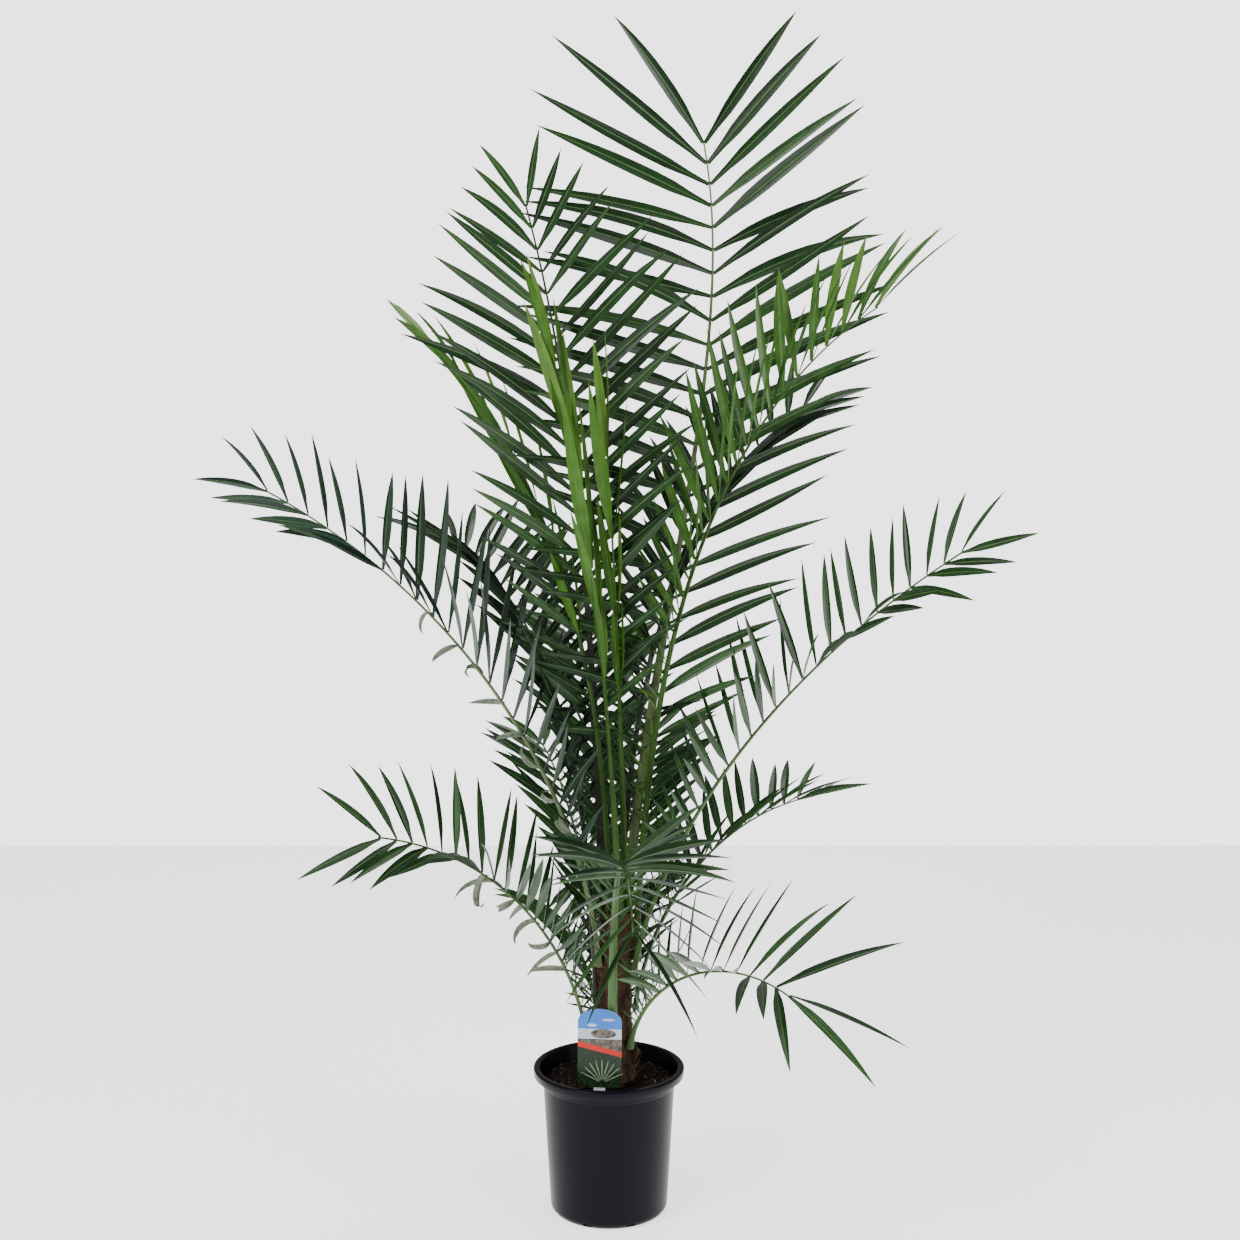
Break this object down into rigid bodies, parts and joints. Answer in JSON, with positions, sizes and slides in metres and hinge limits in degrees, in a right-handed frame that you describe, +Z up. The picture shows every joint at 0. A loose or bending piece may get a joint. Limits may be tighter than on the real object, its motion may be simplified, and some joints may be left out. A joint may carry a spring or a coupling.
{
  "type": "potted date palm",
  "caption": "Potted young date palm with a short fibrous trunk, arching feather fronds, a round nursery pot filled with compost and a plain plant label.",
  "frame": {"origin": "middle of the pot's flat underside, on the surface it stands on", "axes": "+Z up along the plant's height; the camera side of the picture is -Y and the picture's right is +X"},
  "size_m": [1.2803, 1.1521, 1.9336],
  "materials": {
    "pot_plastic": "satin black moulded plastic",
    "compost": "moist bark compost",
    "label_plastic": "printed plastic tag",
    "trunk_fibre": "brown fibrous leaf bases",
    "frond_green": "dark green leathery leaflets",
    "young_green": "bright green folded young leaflets"
  },
  "bodies": {
    "root": {"compost": "compost", "frond_back_left": "frond_green", "frond_back_middle": "frond_green", "frond_back_right": "frond_green", "frond_dark_left": "frond_green", "frond_dark_right": "frond_green", "frond_front": "frond_green", "frond_front_stalk": "frond_green", "frond_high_left": "frond_green", "frond_high_right": "frond_green", "frond_long_left": "frond_green", "frond_long_left_stalk": "frond_green", "frond_long_right": "frond_green", "frond_long_right_stalk": "frond_green", "frond_low_back_left": "frond_green", "frond_low_back_right": "frond_green", "frond_low_front": "frond_green", "frond_low_front_stalk": "frond_green", "frond_low_left": "frond_green", "frond_low_left_stalk": "frond_green", "frond_low_right": "frond_green", "frond_spear": "young_green", "frond_tall": "frond_green", "frond_young_left": "young_green", "frond_young_middle": "young_green", "label": "label_plastic", "pot": "pot_plastic", "trunk": "trunk_fibre"}
  },
  "joints": []
}
